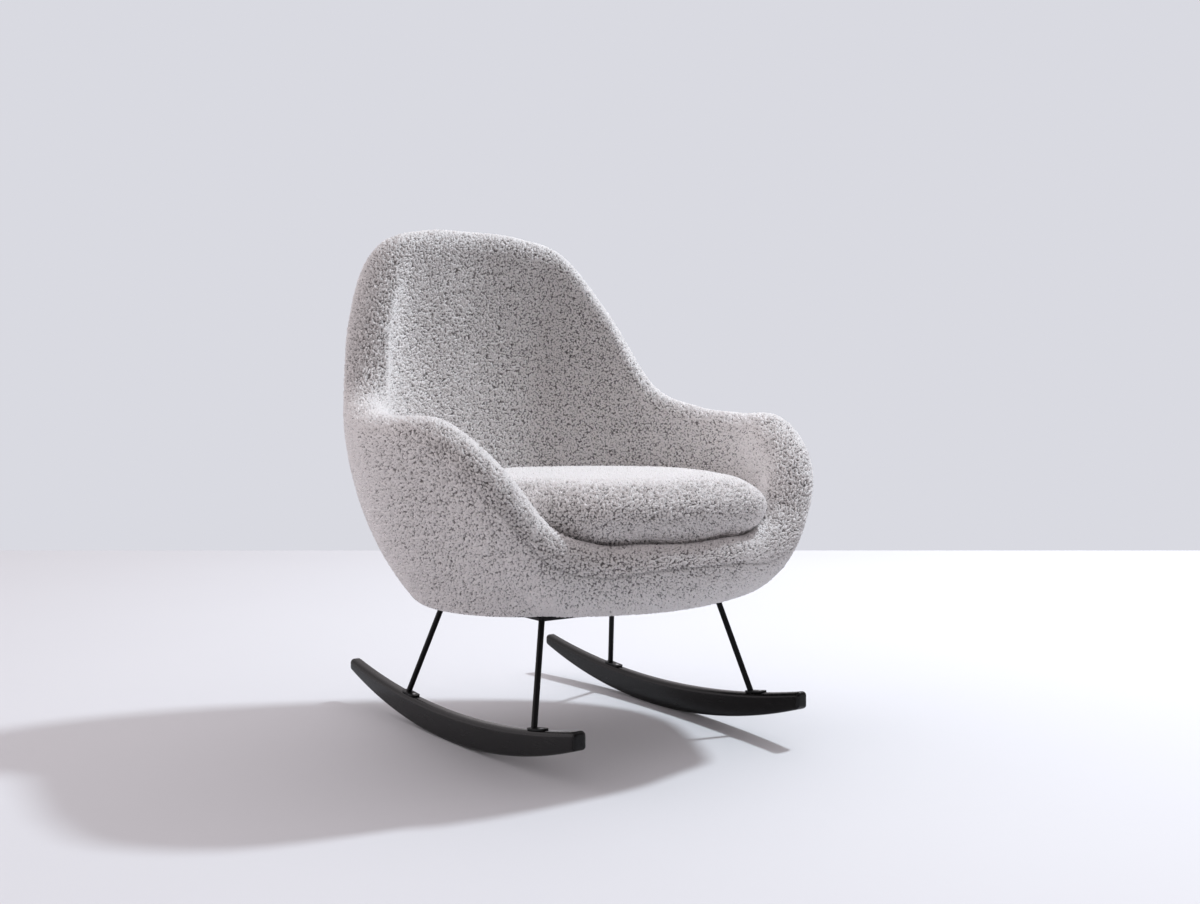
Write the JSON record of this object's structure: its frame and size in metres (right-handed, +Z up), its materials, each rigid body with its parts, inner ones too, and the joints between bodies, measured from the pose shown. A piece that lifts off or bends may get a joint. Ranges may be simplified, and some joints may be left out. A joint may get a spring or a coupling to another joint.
{
  "type": "upholstered rocking chair",
  "caption": "Padded tub rocking chair in looped boucle with a loose seat cushion, on a black steel rod under-frame and curved black wooden rockers.",
  "frame": {"origin": "on the floor under the middle of the chair's box", "axes": "+Z up, the sitter faces -Y, and +X is at the sitter's left hand"},
  "size_m": [0.8134, 0.7585, 0.902],
  "materials": {
    "boucle": "looped boucle weave, pale grey with dark flecks",
    "black_wood": "black satin lacquer",
    "black_steel": "black satin powder coat",
    "black_plastic": "moulded, matt",
    "zinc_steel": "bright zinc",
    "skeleton_steel": "plain dark primer",
    "plywood": "raw birch plywood",
    "lining": "black non-woven lining",
    "foam": "cold-cured polyurethane foam",
    "zip": "coil zip on woven tape"
  },
  "bodies": {
    "chair": {"arm_hoop": "skeleton_steel", "back_hoop": "skeleton_steel", "deck_cover": "boucle", "foot_plate_front_left": "black_steel", "foot_plate_front_right": "black_steel", "foot_plate_rear_left": "black_steel", "foot_plate_rear_right": "black_steel", "frame_bolts": "zinc_steel", "frame_washers": "zinc_steel", "inner_cover": "boucle", "leg_front_left": "black_steel", "leg_front_right": "black_steel", "leg_rear_left": "black_steel", "leg_rear_right": "black_steel", "lining_cloth": "lining", "outer_cover": "boucle", "ring_bar_front": "black_steel", "ring_bar_left": "black_steel", "ring_bar_rear": "black_steel", "ring_bar_right": "black_steel", "ring_tab_front_left": "black_steel", "ring_tab_front_right": "black_steel", "ring_tab_rear_left": "black_steel", "ring_tab_rear_right": "black_steel", "rocker_bolts": "zinc_steel", "rocker_left": "black_wood", "rocker_plugs": "black_plastic", "rocker_right": "black_wood", "seat_board": "plywood", "seat_foam": "foam", "shell_foam": "foam", "skeleton_plates": "skeleton_steel", "skeleton_screws": "zinc_steel", "tee_nuts": "zinc_steel"},
    "seat_cushion": {"cushion_cover": "boucle", "cushion_foam": "foam", "cushion_zip": "zip"}
  },
  "joints": [
    {"name": "cushion_lift", "type": "slide", "parent": "chair", "child": "seat_cushion", "axis": [0, -0.6, 0.8], "range_m": [0, 0.45]}
  ]
}
